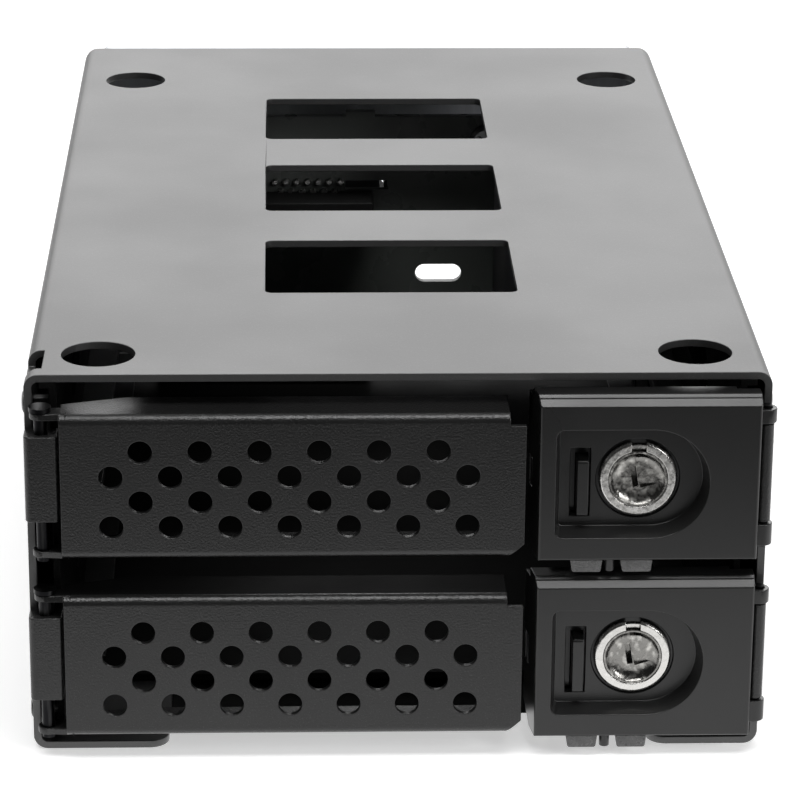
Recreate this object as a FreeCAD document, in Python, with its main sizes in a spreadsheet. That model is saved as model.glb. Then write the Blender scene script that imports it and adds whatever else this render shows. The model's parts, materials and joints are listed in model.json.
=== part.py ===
import FreeCAD, Part
import math
import os
import Sketcher
from FreeCAD import Vector

# Two-bay trayless hot swap cage for 3.5 inch drives.
# X runs to the right, Y to the back, Z up.  The origin is the centre of the four
# bottom screw holes, on the underside of the cage.

os.makedirs("parts", exist_ok=True)
doc = FreeCAD.newDocument("hot_swap_drive_cage")
sheet = doc.addObject("Spreadsheet::Sheet", "Sizes")

driving = {
    # outer sheet metal wrap
    "outer_width": 112.0,
    "outer_height": 61.4,
    "cover_length": 189.6,
    "wall": 1.2,
    "bend_radius": 2.2,
    "lip_left_end": 35.2,
    "lip_right_end": 38.9,
    "screw_pitch_x": 90.5,
    "screw_pitch_y": 156.5,
    "front_margin": 9.25,
    "mount_hole": 3.5,
    "access_hole": 11.2,
    "vent_width": 40.2,
    "vent_length": 27.0,
    "vent_first": 37.9,
    "vent_pitch": 43.65,
    "notch_start": 3.0,
    "notch_length": 8.0,
    "notch_depth": 2.6,
    # bays
    "bay_pitch": 29.3,
    "bay_width": 102.4,
    "bay_drop": 12.95,
    "guide_sheet": 1.0,
    "guide_length": 163.0,
    "rail_start": 16.0,
    "rail_end": 158.0,
    "rail_width": 5.0,
    "rail_thick": 2.2,
    "floor_start": 22.0,
    "floor_end": 175.0,
    # backplane and connectors
    "board_start": 164.4,
    "board_thick": 1.6,
    "board_left": 50.0,
    "board_right": 24.0,
    "board_top": 54.5,
    "board_bottom": 6.5,
    "power_middle": -6.6,
    "power_rise": 2.0,
    "socket_middle": 20.7,
    "socket_length": 42.0,
    "socket_height": 6.6,
    "socket_depth": 8.0,
    "bracket_sheet": 1.0,
    "pusher_side": 38.0,
    "pusher_radius": 3.0,
    "pusher_start": 151.0,
    # rear frame
    "rear_start": 178.0,
    "rear_end": 197.0,
    "rear_half": 53.1,
    # doors
    "door_front": 4.5,
    "door_left": 50.65,
    "door_right": 18.9,
    "door_rise": 11.05,
    "door_fall": 12.0,
    "door_sheet": 1.0,
    "door_bend": 1.4,
    "flange_depth": 8.5,
    "hole_size": 3.6,
    "hole_pitch": 8.9,
    "hole_rows": 4.0,
    "hole_first": 43.15,
    "hinge_side": 53.5,
    "hinge_front": 2.0,
    "hinge_pin_radius": 1.0,
    "running_gap": 0.05,
    "ear_rise": 7.6,
    "ear_fall": 6.0,
    # handles
    "handle_left": 20.96,
    "handle_right": 54.1,
    "handle_rise": 12.2,
    "handle_fall": 12.55,
    "handle_bevel": 1.0,
    "handle_crown": 1.45,
    "crown_slope": 0.5,
    "crown_step": 0.3,
    "crown_width": 5.0,
    "groove_width": 0.25,
    "handle_slab": 4.0,
    "handle_depth": 8.0,
    "handle_slope": 1.2,
    "handle_inside": 50.6,
    "handle_axis": 55.05,
    "handle_pin_radius": 0.7,
    "dish_left": 23.4,
    "dish_right": 46.6,
    "dish_top": 3.7,
    "dish_height": 17.4,
    "dish_depth": 3.5,
    "lock_side": 36.05,
    "lock_drop": 12.65,
    "lock_radius": 5.95,
    "plug_radius": 4.45,
    "bar_left": 26.75,
    "bar_right": 28.5,
    "bar_rise": 2.9,
    "bar_fall": 6.1,
    "slot_rise": 4.4,
    "slot_fall": 6.6,
    "lever_pivot": 29.2,
}

for row, (alias, value) in enumerate(driving.items(), start=1):
    sheet.set(f"A{row}", alias)
    sheet.set(f"B{row}", str(value))
    sheet.setAlias(f"B{row}", alias)
doc.recompute()


class Size:
    # A length that knows its value and the sheet expression it comes from.

    def __init__(self, value, text=None):
        self.value = float(value)
        self.text = text if text else repr(self.value)

    def __add__(self, other):
        other = as_size(other)
        return Size(self.value + other.value, f"({self.text} + {other.text})")

    def __sub__(self, other):
        other = as_size(other)
        return Size(self.value - other.value, f"({self.text} - {other.text})")

    def __mul__(self, factor):
        factor = as_size(factor)
        return Size(self.value * factor.value, f"{self.text} * {factor.text}")

    def __truediv__(self, factor):
        return Size(self.value / factor, f"({self.text} / {factor})")

    def __neg__(self):
        return Size(-self.value, f"(0 - {self.text})")

    __radd__ = __add__
    __rmul__ = __mul__

    def __rsub__(self, other):
        return as_size(other) - self


def as_size(value):
    return value if isinstance(value, Size) else Size(value)


def cell(alias):
    return Size(sheet.get(alias), f"Sizes.{alias}")


class Cells:
    def __getattr__(self, alias):
        return cell(alias)


c = Cells()

# planes and positions used by more than one piece
half = c.outer_width / 2
top = c.outer_height
front = -(c.screw_pitch_y / 2 + c.front_margin)
back = front + c.cover_length
wall_in = half - c.wall
bay_half = c.bay_width / 2
guide_out = bay_half + c.guide_sheet
floor_top = c.wall * 2
ceiling = top - c.wall
board_front = front + c.board_start
board_back = board_front + c.board_thick
hinge_x = -c.hinge_side
hinge_y = front - c.hinge_front
handle_y = front - c.hinge_front
door_y = front - c.door_front
cavity_y = door_y + c.dish_depth + 1.4
lever_y = cavity_y + 1.2
levels = {
    "upper": top / 2 + c.bay_pitch / 2,
    "lower": top / 2 - c.bay_pitch / 2,
}
nodes = []

normal_sign = {"XY": 1, "YZ": 1, "XZ": -1}


def new_body(name):
    body = doc.addObject("PartDesign::Body", name)
    body.Label = name
    nodes.append(body)
    return body


def new_sketch(body, plane, at, u=0, v=0):
    drawing = body.newObject("Sketcher::SketchObject", f"{body.Name}_sketch")
    role = f"{plane}_Plane"
    origin_plane = [item for item in body.Origin.OriginFeatures if item.Role == role][0]
    drawing.AttachmentSupport = [(origin_plane, "")]
    drawing.MapMode = "FlatFace"
    offset = as_size(at) * normal_sign[plane]
    drawing.setExpression("AttachmentOffset.Base.x", as_size(u).text)
    drawing.setExpression("AttachmentOffset.Base.y", as_size(v).text)
    drawing.setExpression("AttachmentOffset.Base.z", offset.text)
    return drawing


def place_point(bounds, geometry, position, x, y):
    # Ties one point of the drawing to its two coordinates.
    for kind, aligned, size in (("DistanceX", "Vertical", x), ("DistanceY", "Horizontal", y)):
        if abs(size.value) < 1e-9:
            bounds.append((Sketcher.Constraint(aligned, -1, 1, geometry, position), None))
        else:
            rule = Sketcher.Constraint(kind, -1, 1, geometry, position, size.value)
            bounds.append((rule, size.text))


def apply_bounds(drawing, bounds):
    indices = drawing.addConstraint([rule for rule, text in bounds])
    for index, (rule, text) in zip(indices, bounds):
        if text:
            drawing.setExpression(f"Constraints[{index}]", text)


def add_outline(drawing, points):
    # A closed outline.  Each point is (x, y) or (x, y, corner radius).
    corners = []
    for point in points:
        radius = as_size(point[2]) if len(point) > 2 else None
        corners.append((as_size(point[0]), as_size(point[1]), radius))
    spots = [Vector(x.value, y.value, 0) for x, y, radius in corners]
    pieces = []
    junctions = []
    for index, (x, y, radius) in enumerate(corners):
        spot = spots[index]
        arriving = (spot - spots[index - 1]).normalize()
        leaving = (spots[(index + 1) % len(spots)] - spot).normalize()
        if radius is None:
            junctions.append(((x, y), (x, y), None))
            continue
        turn = math.atan2(arriving.cross(leaving).z, arriving.dot(leaving))
        reach = radius * abs(math.tan(turn / 2))
        enter = (x - reach * arriving.x, y - reach * arriving.y)
        leave = (x + reach * leaving.x, y + reach * leaving.y)
        side = 1 if turn > 0 else -1
        start = Vector(enter[0].value, enter[1].value, 0)
        middle = start + Vector(-arriving.y, arriving.x, 0) * (radius.value * side)
        end = Vector(leave[0].value, leave[1].value, 0)
        first, last = (start, end) if side > 0 else (end, start)
        first_angle = math.atan2(first.y - middle.y, first.x - middle.x)
        last_angle = math.atan2(last.y - middle.y, last.x - middle.x)
        circle = Part.Circle(middle, Vector(0, 0, 1), radius.value)
        arc = Part.ArcOfCircle(circle, first_angle, last_angle)
        junctions.append((enter, leave, (arc, side, radius)))
    bounds = []
    previous = None
    opening = None
    for index, (enter, leave, bend) in enumerate(junctions):
        before = junctions[index - 1][1]
        start = Vector(before[0].value, before[1].value, 0)
        end = Vector(enter[0].value, enter[1].value, 0)
        if (end - start).Length > 1e-6:
            line = drawing.addGeometry(Part.LineSegment(start, end))
            place_point(bounds, line, 2, enter[0], enter[1])
            if previous:
                bounds.append((Sketcher.Constraint("Coincident", *previous, line, 1), None))
            opening = opening or (line, 1)
            previous = (line, 2)
        if bend:
            arc, side, radius = bend
            curve = drawing.addGeometry(arc)
            near, far = (1, 2) if side > 0 else (2, 1)
            place_point(bounds, curve, far, leave[0], leave[1])
            rule = Sketcher.Constraint("Radius", curve, radius.value)
            bounds.append((rule, radius.text))
            if previous:
                bounds.append((Sketcher.Constraint("Coincident", *previous, curve, near), None))
            opening = opening or (curve, near)
            previous = (curve, far)
    bounds.append((Sketcher.Constraint("Coincident", *previous, *opening), None))
    apply_bounds(drawing, bounds)


def add_box(drawing, x1, y1, x2, y2, radius=None):
    corners = [(x1, y1), (x2, y1), (x2, y2), (x1, y2)]
    if radius is not None:
        corners = [(x, y, radius) for x, y in corners]
    add_outline(drawing, corners)


def add_circle(drawing, x, y, radius):
    x, y, radius = as_size(x), as_size(y), as_size(radius)
    shape = Part.Circle(Vector(x.value, y.value, 0), Vector(0, 0, 1), radius.value)
    circle = drawing.addGeometry(shape)
    bounds = [(Sketcher.Constraint("Radius", circle, radius.value), radius.text)]
    place_point(bounds, circle, 3, x, y)
    apply_bounds(drawing, bounds)


def extrude(body, kind, plane, low, high, draw, taper=0):
    # Pads or pockets between two positions along the plane's own world axis.
    # draw is called with the new drawing and adds its outlines.
    low, high = as_size(low), as_size(high)
    upright = normal_sign[plane] > 0
    at_low = upright if kind == "Pad" else not upright
    before = body.Shape.Volume if kind == "Pocket" else 0
    drawing = new_sketch(body, plane, low if at_low else high)
    draw(drawing)
    feature = body.newObject(f"PartDesign::{kind}", f"{body.Name}_{kind.lower()}")
    feature.Profile = drawing
    feature.setExpression("Length", (high - low).text)
    feature.TaperAngle = taper
    doc.recompute()
    if kind == "Pocket" and body.Shape.Volume >= before:
        raise RuntimeError(f"{feature.Name} removed nothing")
    return feature


def pad(body, plane, low, high, draw, taper=0):
    return extrude(body, "Pad", plane, low, high, draw, taper)


def pocket(body, plane, low, high, draw, taper=0):
    return extrude(body, "Pocket", plane, low, high, draw, taper)


def turned(body, plane, at, u, v, axis, points):
    # A body of revolution about the drawing's own H or V axis.
    drawing = new_sketch(body, plane, at, u, v)
    add_outline(drawing, points)
    feature = body.newObject("PartDesign::Revolution", f"{body.Name}_revolution")
    feature.Profile = drawing
    feature.ReferenceAxis = (drawing, [axis])
    feature.Angle = 360
    doc.recompute()
    return feature


def dress(body, kind, size, wanted):
    # Fillets or chamfers the edges that wanted(edge) accepts.
    tip = body.Tip
    names = []
    for index, edge in enumerate(tip.Shape.Edges, start=1):
        if wanted(edge):
            names.append(f"Edge{index}")
    feature = body.newObject(f"PartDesign::{kind}", f"{body.Name}_{kind.lower()}")
    feature.Base = (tip, names)
    feature.setExpression("Radius" if kind == "Fillet" else "Size", as_size(size).text)
    doc.recompute()
    return feature


def along(edge, axis):
    # True for a straight edge parallel to the named axis.
    if edge.Curve.TypeId != "Part::GeomLine":
        return False
    return abs(getattr(edge.Curve.Direction, axis)) > 0.999


def near(value, size, margin=0.02):
    return abs(value - as_size(size).value) < margin


def outline(*points):
    return lambda drawing: add_outline(drawing, points)


def box(x1, y1, x2, y2, radius=None):
    return lambda drawing: add_box(drawing, x1, y1, x2, y2, radius)


def circles(centres, radius):
    def draw(drawing):
        for x, y in centres:
            add_circle(drawing, x, y, radius)
    return draw


def group(name, shapes):
    # Several identical loose pieces in one node.
    piece = doc.addObject("Part::Feature", name)
    piece.Label = name
    piece.Shape = Part.makeCompound(shapes)
    nodes.append(piece)
    return piece


def vent_boxes(drawing):
    for index in range(3):
        start = front + c.vent_first + c.vent_pitch * index
        x = c.vent_width / 2
        add_box(drawing, -x, start, x, start + c.vent_length, 1.2)


def screw_corners():
    x, y = c.screw_pitch_x / 2, c.screw_pitch_y / 2
    return [(-x, -y), (x, -y), (x, y), (-x, y)]


side_screw_offsets = (4.5, 150.0)
side_screw_heights = (5.2, 55.6)
side_screw_hole = 1.15


def side_screw_spots():
    spots = []
    for offset in side_screw_offsets:
        for height in side_screw_heights:
            spots.append((front + offset, as_size(height)))
    return spots


def make_cover():
    # One sheet bent round into a box whose two bottom lips leave the middle open.
    body = new_body("cover")
    r = c.bend_radius
    inner = c.bend_radius - c.wall
    left, right = -c.lip_left_end, c.lip_right_end
    pad(body, "XZ", front, back, outline(
        (left, 0), (-half, 0, r), (-half, top, r), (half, top, r), (half, 0, r), (right, 0),
        (right, c.wall), (wall_in, c.wall, inner), (wall_in, ceiling, inner),
        (-wall_in, ceiling, inner), (-wall_in, c.wall, inner), (left, c.wall)))
    pocket(body, "XY", ceiling - 1, top, circles(screw_corners(), c.access_hole / 2))
    pocket(body, "XY", ceiling - 1, top, vent_boxes)
    pocket(body, "XY", 0, c.wall, circles(screw_corners(), c.mount_hole / 2))
    notch = front + c.notch_start
    notch_box = box(-half - 1, notch, -half + c.notch_depth, notch + c.notch_length)
    pocket(body, "XY", top - c.notch_depth, top, notch_box)
    pocket(body, "XY", 0, c.notch_depth, notch_box)
    pocket(body, "YZ", -half, half, circles(side_screw_spots(), side_screw_hole))
    for side in (-1, 1):
        edge, cut = half * side, (half - 3) * side
        pocket(body, "XY", 0, top, outline(
            (edge + side, back - 3), (edge + side, back + 1), (cut, back + 1), (cut, back),
            (edge, back, 3), (edge, back - 3)))
        lip = (c.lip_left_end if side < 0 else c.lip_right_end) * side
        pocket(body, "XY", 0, c.wall, outline(
            (lip - side, front - 1), (lip + 3 * side, front - 1), (lip + 3 * side, front),
            (lip, front, 3), (lip, front + 3), (lip - side, front + 3)))


def make_floor_plate():
    body = new_body("floor_plate")
    x = wall_in - 1.2
    pad(body, "XY", c.wall, floor_top, box(-x, front + c.floor_start, x, front + c.floor_end, 2))
    rear_pair = screw_corners()[2:]
    pocket(body, "XY", c.wall, floor_top, circles(rear_pair, 4.0))


def make_guide(name, side):
    # Inner side wall: a web with two flanges that reach out to the cover.
    body = new_body(name)
    inner, outer, reach = bay_half * side, guide_out * side, (wall_in - 1.1) * side
    low, high = floor_top, ceiling
    sheet_low, sheet_high = low + c.guide_sheet, high - c.guide_sheet
    pad(body, "XZ", front, front + c.guide_length, outline(
        (inner, low), (inner, high), (reach, high), (reach, sheet_high), (outer, sheet_high),
        (outer, sheet_low), (reach, sheet_low), (reach, low)))
    edges = sorted((inner, outer), key=lambda size: size.value)
    for level in levels.values():
        pocket(body, "YZ", edges[0], edges[1], box(
            front + 40, level - 4, front + 130, level + 4, 3.99))
    pocket(body, "YZ", edges[0], edges[1], circles(side_screw_spots(), side_screw_hole))


def make_rail(name, side, level, start, thick):
    # Plastic strip that one edge of the drive slides on, with a lead-in at its front.
    body = new_body(name)
    outer, inner = bay_half * side, (bay_half - c.rail_width) * side
    y1, y2 = front + start, front + c.rail_end
    high = level - c.bay_drop
    pad(body, "XY", high - thick, high, outline(
        (outer, y1), (outer, y2), (inner, y2, 1), (inner, y1 + 4), (inner + 3 * side, y1)))
    dress(body, "Chamfer", 0.4, lambda edge: along(edge, "x") and
          near(edge.CenterOfMass.z, high) and near(edge.CenterOfMass.y, y1))


def make_backplane():
    body = new_body("backplane")
    left, right = -c.board_left, c.board_right
    tab = c.board_top + 1
    pad(body, "XZ", board_front, board_back, outline(
        (left, c.board_bottom), (right, c.board_bottom), (right, c.board_top), (0.7, c.board_top),
        (0.7, tab), (-5.0, tab), (-5.0, c.board_top), (left, c.board_top)))
    air_slot_half = 4.5
    pocket(body, "XZ", board_front, board_back, box(
        13.2 - air_slot_half, 20.9, 13.2 + air_slot_half, 24.5, 1.79))
    pocket(body, "XZ", board_front, board_back, box(-5.0, 39.8, 3.2, 41.6))
    pocket(body, "XZ", board_front, board_back, circles(board_screw_spots, 1.6))


board_screw_spots = [(-47.5, 11.0), (-47.5, 50.0), (21.8, 11.0), (21.8, 50.0)]


def make_bracket(name, side, inner, pusher_holes):
    # Steel angle that carries one edge of the backplane and is fixed to the cover wall.
    body = new_body(name)
    outer = wall_in * side
    y2 = board_back + c.bracket_sheet
    pad(body, "XY", 7.5, 53.5, outline(
        (inner, board_back), (outer, board_back), (outer, board_back + 11),
        (outer - c.bracket_sheet * side, board_back + 11), (outer - c.bracket_sheet * side, y2),
        (inner, y2)))
    holes = [(x, z) for x, z in board_screw_spots if x * side > 0]
    pocket(body, "XZ", board_back, y2, circles(holes, 1.35))
    if pusher_holes:
        spots = [(c.pusher_side, level) for level in levels.values()]
        pocket(body, "XZ", board_back, y2, circles(spots, c.pusher_radius + c.running_gap))


def make_socket(name, level):
    # Drive-side receptacle: a shroud round two contact blades.
    body = new_body(name)
    middle, length = -c.socket_middle, c.socket_length / 2
    low = level - c.bay_drop + 0.4
    high = low + c.socket_height
    centre = low + c.socket_height / 2
    y1 = board_front - c.socket_depth
    pad(body, "XZ", y1, board_front, box(middle - length, low, middle + length, high, 0.6))
    pocket(body, "XZ", y1, y1 + 6.5, box(
        middle - 18, centre - 1.9, middle + 18, centre + 1.9))
    for start, end in ((-17.4, 4.4), (6.0, 17.4)):
        pad(body, "XZ", y1 + 0.8, y1 + 6.5, box(
            middle + start, centre - 0.6, middle + end, centre + 0.6))


def make_data_port(name, level):
    body = new_body(name)
    y2 = board_back + 11
    pad(body, "XZ", board_back, y2, box(-38, level - 3, -24, level + 3, 0.5))
    pocket(body, "XZ", y2 - 7, y2, box(-36.8, level - 1.9, -25.2, level + 1.9))
    pad(body, "XZ", y2 - 7, y2 - 1, box(-35.6, level - 0.6, -26.4, level + 0.6))


def make_power_port():
    # Four-pin power header with two bevelled corners.
    body = new_body("power_port")
    middle, height, y2 = c.power_middle, top / 2 + c.power_rise, board_back + 13
    low, high, half_wide = height - 5, height + 5, 11

    def housing(wall):
        left, right = middle - half_wide + wall, middle + half_wide - wall
        corner = 2.5 - 0.6 * wall
        return outline(
            (left, low + wall), (right, low + wall), (right, high - wall - corner),
            (right - corner, high - wall), (left + corner, high - wall),
            (left, high - wall - corner))

    pad(body, "XZ", board_back, y2, housing(0))
    pocket(body, "XZ", y2 - 10, y2, housing(1))
    pins = [(middle + 5.08 * (index - 1.5), height - 0.5) for index in range(4)]
    pad(body, "XZ", y2 - 10, y2 - 2, circles(pins, 1.05))


def make_rear_frame():
    # Collar inside the back of the cover, closed by a plate.  Its window is high over
    # the data ports, low over the power port, and there is a low one at the side.
    body = new_body("rear_frame")
    x, t = c.rear_half, 1.0
    low, high = floor_top, ceiling
    y1, y2 = front + c.rear_start, front + c.rear_end

    def ring(drawing):
        add_box(drawing, -x, low, x, high, 2.0)
        add_box(drawing, t - x, low + t, x - t, high - t, 1.0)

    pad(body, "XZ", y1, y2 - t, ring)
    pad(body, "XZ", y2 - t, y2, box(-x, low, x, high, 2.0))
    pocket(body, "XZ", y2 - t, y2, outline(
        (-43, 8, 2.5), (27, 8, 2.5), (27, 37.5, 2.5), (-22.5, 37.5, 2.5), (-22.5, 51.5, 2.5),
        (-43, 51.5, 2.5)))
    pocket(body, "XZ", y2 - t, y2, box(31, 8, 47, 37.5, 2.5))


def make_led_board(name, level):
    body = new_body(name)
    low = level - c.bay_drop - 1.9
    pad(body, "XY", low, low + 1.0, box(23, front + 2, bay_half, front + 12))


lens_spots = {"power": (25.85, 30.75), "activity": (33.45, 38.35)}


def make_leds(name, level):
    low = (level - c.bay_drop - 0.9).value
    y = (front + 2.2).value
    shapes = []
    for start, end in lens_spots.values():
        middle = (start + end) / 2
        shapes.append(Part.makeBox(3.0, 1.2, 0.6, Vector(middle - 1.5, y, low)))
    group(name, shapes)


def make_hinge_block(name, level):
    # Fixed knuckle at the left, with a tongue that fills the gap beside the guide.
    body = new_body(name)
    low, high = level - c.ear_fall, level + c.ear_rise
    nose, face = hinge_x + 2.55, front - 4.1
    pad(body, "XY", low, high, outline(
        (-half, front), (-half, face, 1.0), (nose, face, 0.6), (nose, front),
        (-guide_out, front), (-guide_out, front + 12), (-wall_in, front + 12),
        (-wall_in, front)))
    pocket(body, "XY", low, high, circles([(hinge_x, hinge_y)], c.hinge_pin_radius))


def make_hinge_pin(name, level):
    body = new_body(name)
    r = c.hinge_pin_radius
    low, high = level - c.door_fall - 0.8, level + c.door_rise + 0.1
    turned(body, "XZ", hinge_y, hinge_x, 0, "V_Axis", [
        (0, low), (r, low), (r, high), (r + 0.7, high), (r + 0.7, high + 0.7), (0, high + 0.7)])


def make_door(name, level):
    # Perforated front bent from sheet, with a flange above and below.
    # Both flanges run on at the left as lugs for the hinge pin.
    body = new_body(name)
    t, bend = c.door_sheet, c.door_bend
    inner = c.door_bend - c.door_sheet
    low, high = level - c.door_fall, level + c.door_rise
    left, right = -c.door_left, c.door_right
    rear = door_y + c.flange_depth
    pad(body, "YZ", left, right, outline(
        (rear, high), (door_y, high, bend), (door_y, low, bend), (rear, low),
        (rear, low + t), (door_y + t, low + t, inner), (door_y + t, high - t, inner),
        (rear, high - t)))
    lug = c.hinge_front - 0.4
    for start in (low, high - t):
        pad(body, "XY", start, start + t, outline(
            (left + 1, hinge_y - lug), (hinge_x - lug, hinge_y - lug, lug),
            (hinge_x - lug, hinge_y + lug, lug), (left + 1, hinge_y + lug)))
    bore = c.hinge_pin_radius + c.running_gap
    pocket(body, "XY", low, high, circles([(hinge_x, hinge_y)], bore))
    pocket(body, "XY", low, high, outline(
        (left - 1, front + 1), (left, front + 1), (left + 10, rear), (left + 10, rear + 1),
        (left - 1, rear + 1)))
    end = right - 2.4
    pocket(body, "XZ", door_y, rear, outline(
        (end, high + 1), (end, high - 1.8), (right + 1, high - 1.8), (right + 1, high + 1)))
    pocket(body, "XZ", door_y, rear, outline(
        (end, low - 1), (end, low), (right, low + 2.2), (right + 1, low + 2.2),
        (right + 1, low - 1)))
    spots = []
    for row in range(4):
        count, shift = (6, 0.5) if row % 2 == 0 else (7, 0)
        for index in range(count):
            x = -c.hole_first + c.hole_pitch * (index + shift)
            spots.append((x, level + 5.3 - c.hole_rows * row))
    pocket(body, "XZ", door_y, door_y + t, circles(spots, c.hole_size / 2))


def handle_edges(level):
    return level - c.handle_fall, level + c.handle_rise


def make_handle(name, level):
    # Moulded front block with a dished grip, hinged on two lugs at the right.
    body = new_body(name)
    low, high = handle_edges(level)
    left, right = c.handle_left, c.handle_right
    slab_back = door_y + c.handle_slab
    rear = door_y + c.handle_depth
    rear_left = left - c.handle_slope
    crown = high + c.handle_crown
    pad(body, "XY", low, crown, outline(
        (left, door_y), (right, door_y), (right, slab_back), (c.handle_inside, slab_back),
        (c.handle_inside, rear), (rear_left, rear)))
    brow = door_y + c.handle_bevel
    bevel_high = high + c.handle_bevel
    groove, rib = brow + c.groove_width, crown - c.crown_slope
    groove_floor = rib - c.crown_step
    pocket(body, "YZ", rear_left, right, outline(
        (door_y - 1, crown + 1), (door_y - 1, high - 1), (brow, bevel_high),
        (brow, groove_floor), (groove, groove_floor), (groove, rib),
        (groove + c.crown_slope, crown), (groove + c.crown_slope, crown + 1)))
    pocket(body, "YZ", rear_left, c.handle_inside, outline(
        (door_y + c.crown_width, crown + 1), (door_y + c.crown_width, high), (rear + 1, high),
        (rear + 1, crown + 1)))
    pocket(body, "YZ", rear_left, c.handle_inside, outline(
        (slab_back, low - 1), (slab_back, low), (rear, low + 3.2), (rear + 1, low + 3.2),
        (rear + 1, low - 1)))
    dress(body, "Fillet", 0.45, lambda edge: near(edge.CenterOfMass.y, door_y) and
          not near(edge.CenterOfMass.z, high))
    dish_high = high - c.dish_top
    dish_low = dish_high - c.dish_height
    dish_floor = door_y + c.dish_depth
    big = c.dish_height / 2 - 0.01
    pocket(body, "XZ", door_y, dish_floor, outline(
        (c.dish_left, dish_low, 1.3), (c.dish_right, dish_low, big),
        (c.dish_right, dish_high, big), (c.dish_left, dish_high, 1.3)), taper=-12)
    pocket(body, "XZ", cavity_y, rear, box(
        left + 1.4, level - 8.2, c.handle_inside - 1.6, high - 2.3, 1.0))
    lock_z = high - c.lock_drop
    pocket(body, "XZ", dish_floor, cavity_y, circles([(c.lock_side, lock_z)], c.lock_radius - 0.6))
    pocket(body, "XZ", dish_floor, cavity_y, box(
        c.bar_left - 0.95, level - c.slot_fall, c.bar_right + 0.35, level + c.slot_rise))
    pocket(body, "YZ", rear_left - 1, left + 1.6, box(
        cavity_y + 0.1, level - 2.5, rear - 0.6, level + 2.3))
    for start, end in lever_ears(level):
        pad(body, "XY", start, end, box(
            c.lever_pivot - 0.9, cavity_y, c.lever_pivot + 0.8, lever_y + 0.9))
        pocket(body, "XY", start, end, circles([(c.lever_pivot, lever_y)], 0.5))
    lug = 1.5
    for start, end in lug_spans(level):
        pad(body, "XY", start, end, outline(
            (right - 1.2, handle_y - lug), (c.handle_axis + lug, handle_y - lug, lug),
            (c.handle_axis + lug, handle_y + lug, lug), (right - 1.2, handle_y + lug)))
    bore = c.handle_pin_radius + c.running_gap
    pocket(body, "XY", low, high, circles([(c.handle_axis, handle_y)], bore))
    lower, upper = lug_spans(level)
    pocket(body, "XY", lower[1], upper[0], box(
        right - 0.8, door_y + 0.8, right + 0.2, slab_back + 0.2))
    pad(body, "XY", low - 2.0, low, circles([(31.9, door_y + 1.4)], 0.8))


def lug_spans(level):
    # Heights of the two hinge lugs at the handle's right edge.
    return [(level - 10.7, level - 7.3), (level + 9.0, level + 11.2)]


def lever_ears(level):
    # Heights of the two ears inside the handle that hold the release lever's pin.
    return [(level - 8.1, level - 6.9), (level + 5.0, level + 6.2)]


def make_handle_back(name, level):
    # Thin plate that closes the back of the handle.
    body = new_body(name)
    rear = door_y + c.handle_depth
    cavity_high = level + c.handle_rise - 2.3
    left, right = c.handle_left + 1.4, c.handle_inside - 1.6
    pad(body, "XZ", rear - 0.8, rear, box(left, level - 8.2, right, cavity_high, 1.0))
    lock_z = level + c.handle_rise - c.lock_drop
    pocket(body, "XZ", rear - 0.8, rear, circles([(c.lock_side, lock_z)], c.lock_radius - 0.6))
    pocket(body, "XZ", rear - 0.8, rear, box(25.8, lock_z - 1.5, 28.9, lock_z + 1.5))


def make_handle_screws(name, level):
    rear = (door_y + c.handle_depth).value
    spots = [(24.6, level.value - 6.4), (24.6, level.value + 8.2), (46.8, level.value - 6.4),
             (46.8, level.value + 8.2)]
    shapes = []
    for x, z in spots:
        head = Part.makeCylinder(1.2, 0.5, Vector(x, rear, z), Vector(0, 1, 0))
        shapes.append(head)
    group(name, shapes)


def make_lever_pin(name, level):
    body = new_body(name)
    low, high = lever_ears(level)[0][0], lever_ears(level)[1][1]
    turned(body, "XZ", lever_y, c.lever_pivot, 0, "V_Axis", [
        (0, low), (0.5, low), (0.5, high), (0, high)])


def make_release_lever(name, level):
    # Rocking catch: pressing its raised bar swings the tongue at its left end back.
    body = new_body(name)
    y1, y2 = cavity_y + 0.5, cavity_y + 1.3
    low, high = lever_ears(level)[0][1] + 0.3, lever_ears(level)[1][0] - 0.3
    pad(body, "XZ", y1, y2, outline(
        (20.1, level - 2.2), (22.6, level - 2.2), (22.6, low), (c.lever_pivot, low),
        (c.lever_pivot, high), (22.6, high), (22.6, level + 2.0), (20.1, level + 2.0)))
    pad(body, "XY", low, high, circles([(c.lever_pivot, lever_y)], 0.8))
    pad(body, "XZ", door_y + 1.9, y1, box(
        c.bar_left, level - c.bar_fall, c.bar_right, level + c.bar_rise))
    dress(body, "Fillet", 0.5, lambda edge: along(edge, "x") and
          near(edge.CenterOfMass.y, door_y + 1.9))
    lock_z = level + c.handle_rise - c.lock_drop
    pad(body, "XZ", y2, y2 + 1.5, box(26.5, lock_z - 1, 28.0, lock_z + 1))
    pocket(body, "XY", low, high, circles([(c.lever_pivot, lever_y)], 0.55))


def make_lock_housing(name, level):
    # Metal barrel whose front flange is an open ring.
    body = new_body(name)
    lock_z = level + c.handle_rise - c.lock_drop
    face = door_y + c.dish_depth
    bore, barrel = c.plug_radius + c.running_gap, c.lock_radius - 0.6
    turned(body, "YZ", c.lock_side, 0, lock_z, "H_Axis", [
        (face - 0.75, bore), (face - 0.75, c.lock_radius - 0.35), (face - 0.4, c.lock_radius),
        (face, c.lock_radius), (face, barrel), (face + 4.6, barrel), (face + 4.6, bore)])
    pocket(body, "XZ", face - 0.75, face, box(
        c.lock_side - 1.1, lock_z + 3, c.lock_side + 1.1, lock_z + c.lock_radius + 1))


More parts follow.
